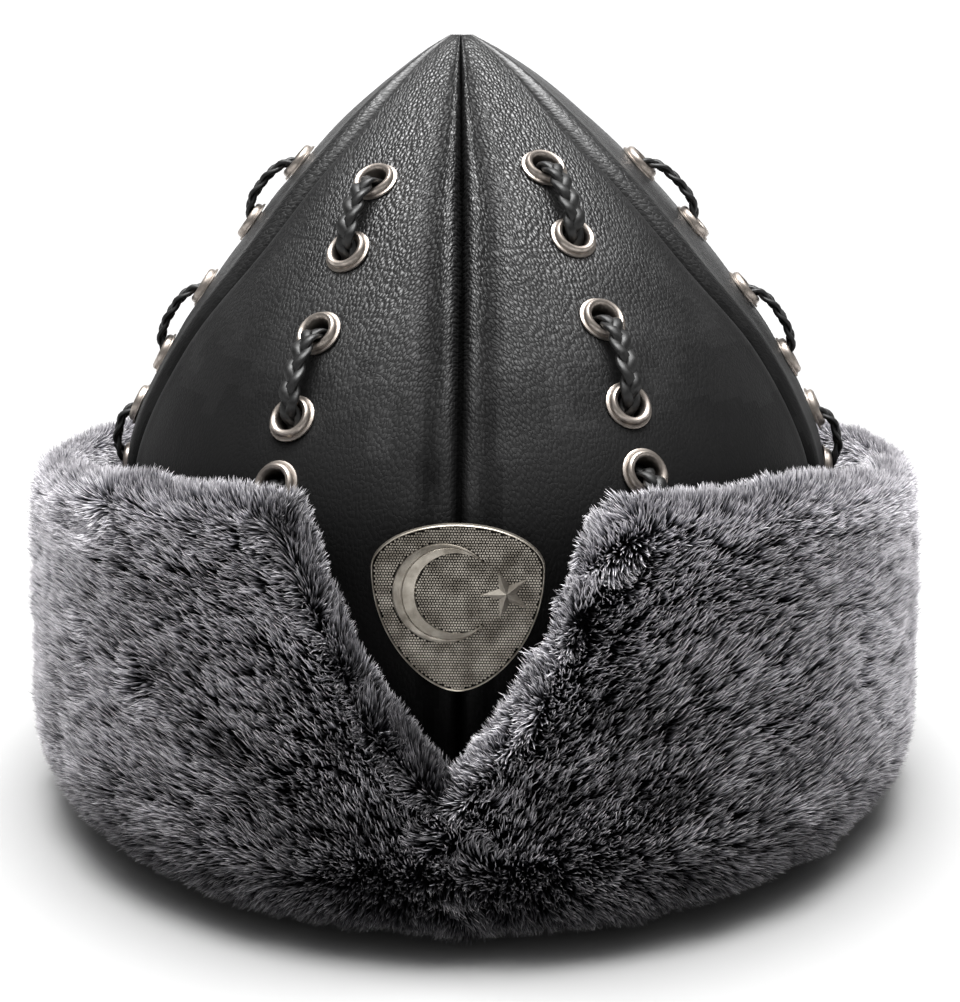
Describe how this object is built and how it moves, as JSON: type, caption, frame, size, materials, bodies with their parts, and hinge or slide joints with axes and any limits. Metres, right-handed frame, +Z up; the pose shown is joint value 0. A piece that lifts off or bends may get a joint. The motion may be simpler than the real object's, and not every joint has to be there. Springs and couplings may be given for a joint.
{
  "type": "bork hat",
  "caption": "Pointed leather hat of laced gores, with a turned-up fur cuff split in front and a metal badge.",
  "frame": {"origin": "on the surface the hat stands on, under the centre of its box", "axes": "+Z up through the crown's tip, -Y towards the front with the split and the badge"},
  "size_m": [0.2322, 0.2603, 0.187],
  "materials": {
    "leather": "black pebbled, soft sheen",
    "lace": "black braided, semi-gloss",
    "nickel": "nickel plated, polished",
    "fur": "grey frosted pile, dark at the roots",
    "silver": "antique silver, darkened in the hollows"
  },
  "bodies": {
    "root": {"gore_front_left": "leather", "gore_front_right": "leather", "gore_side_left": "leather", "gore_side_right": "leather", "gore_back_left": "leather", "gore_back_right": "leather", "lace_front_left": "lace", "lace_front_right": "lace", "lace_side_left": "lace", "lace_side_right": "lace", "lace_back_left": "lace", "lace_back_right": "lace", "eyelet_front_left_1": "nickel", "eyelet_front_left_2": "nickel", "eyelet_front_left_3": "nickel", "eyelet_front_left_4": "nickel", "eyelet_front_left_5": "nickel", "eyelet_front_left_6": "nickel", "eyelet_front_right_1": "nickel", "eyelet_front_right_2": "nickel", "eyelet_front_right_3": "nickel", "eyelet_front_right_4": "nickel", "eyelet_front_right_5": "nickel", "eyelet_front_right_6": "nickel", "eyelet_side_left_1": "nickel", "eyelet_side_left_2": "nickel", "eyelet_side_left_3": "nickel", "eyelet_side_left_4": "nickel", "eyelet_side_left_5": "nickel", "eyelet_side_left_6": "nickel", "eyelet_side_right_1": "nickel", "eyelet_side_right_2": "nickel", "eyelet_side_right_3": "nickel", "eyelet_side_right_4": "nickel", "eyelet_side_right_5": "nickel", "eyelet_side_right_6": "nickel", "eyelet_back_left_1": "nickel", "eyelet_back_left_2": "nickel", "eyelet_back_left_3": "nickel", "eyelet_back_left_4": "nickel", "eyelet_back_left_5": "nickel", "eyelet_back_left_6": "nickel", "eyelet_back_right_1": "nickel", "eyelet_back_right_2": "nickel", "eyelet_back_right_3": "nickel", "eyelet_back_right_4": "nickel", "eyelet_back_right_5": "nickel", "eyelet_back_right_6": "nickel", "fur_cuff": "fur", "badge": "silver", "badge_pin": "silver"}
  },
  "joints": []
}
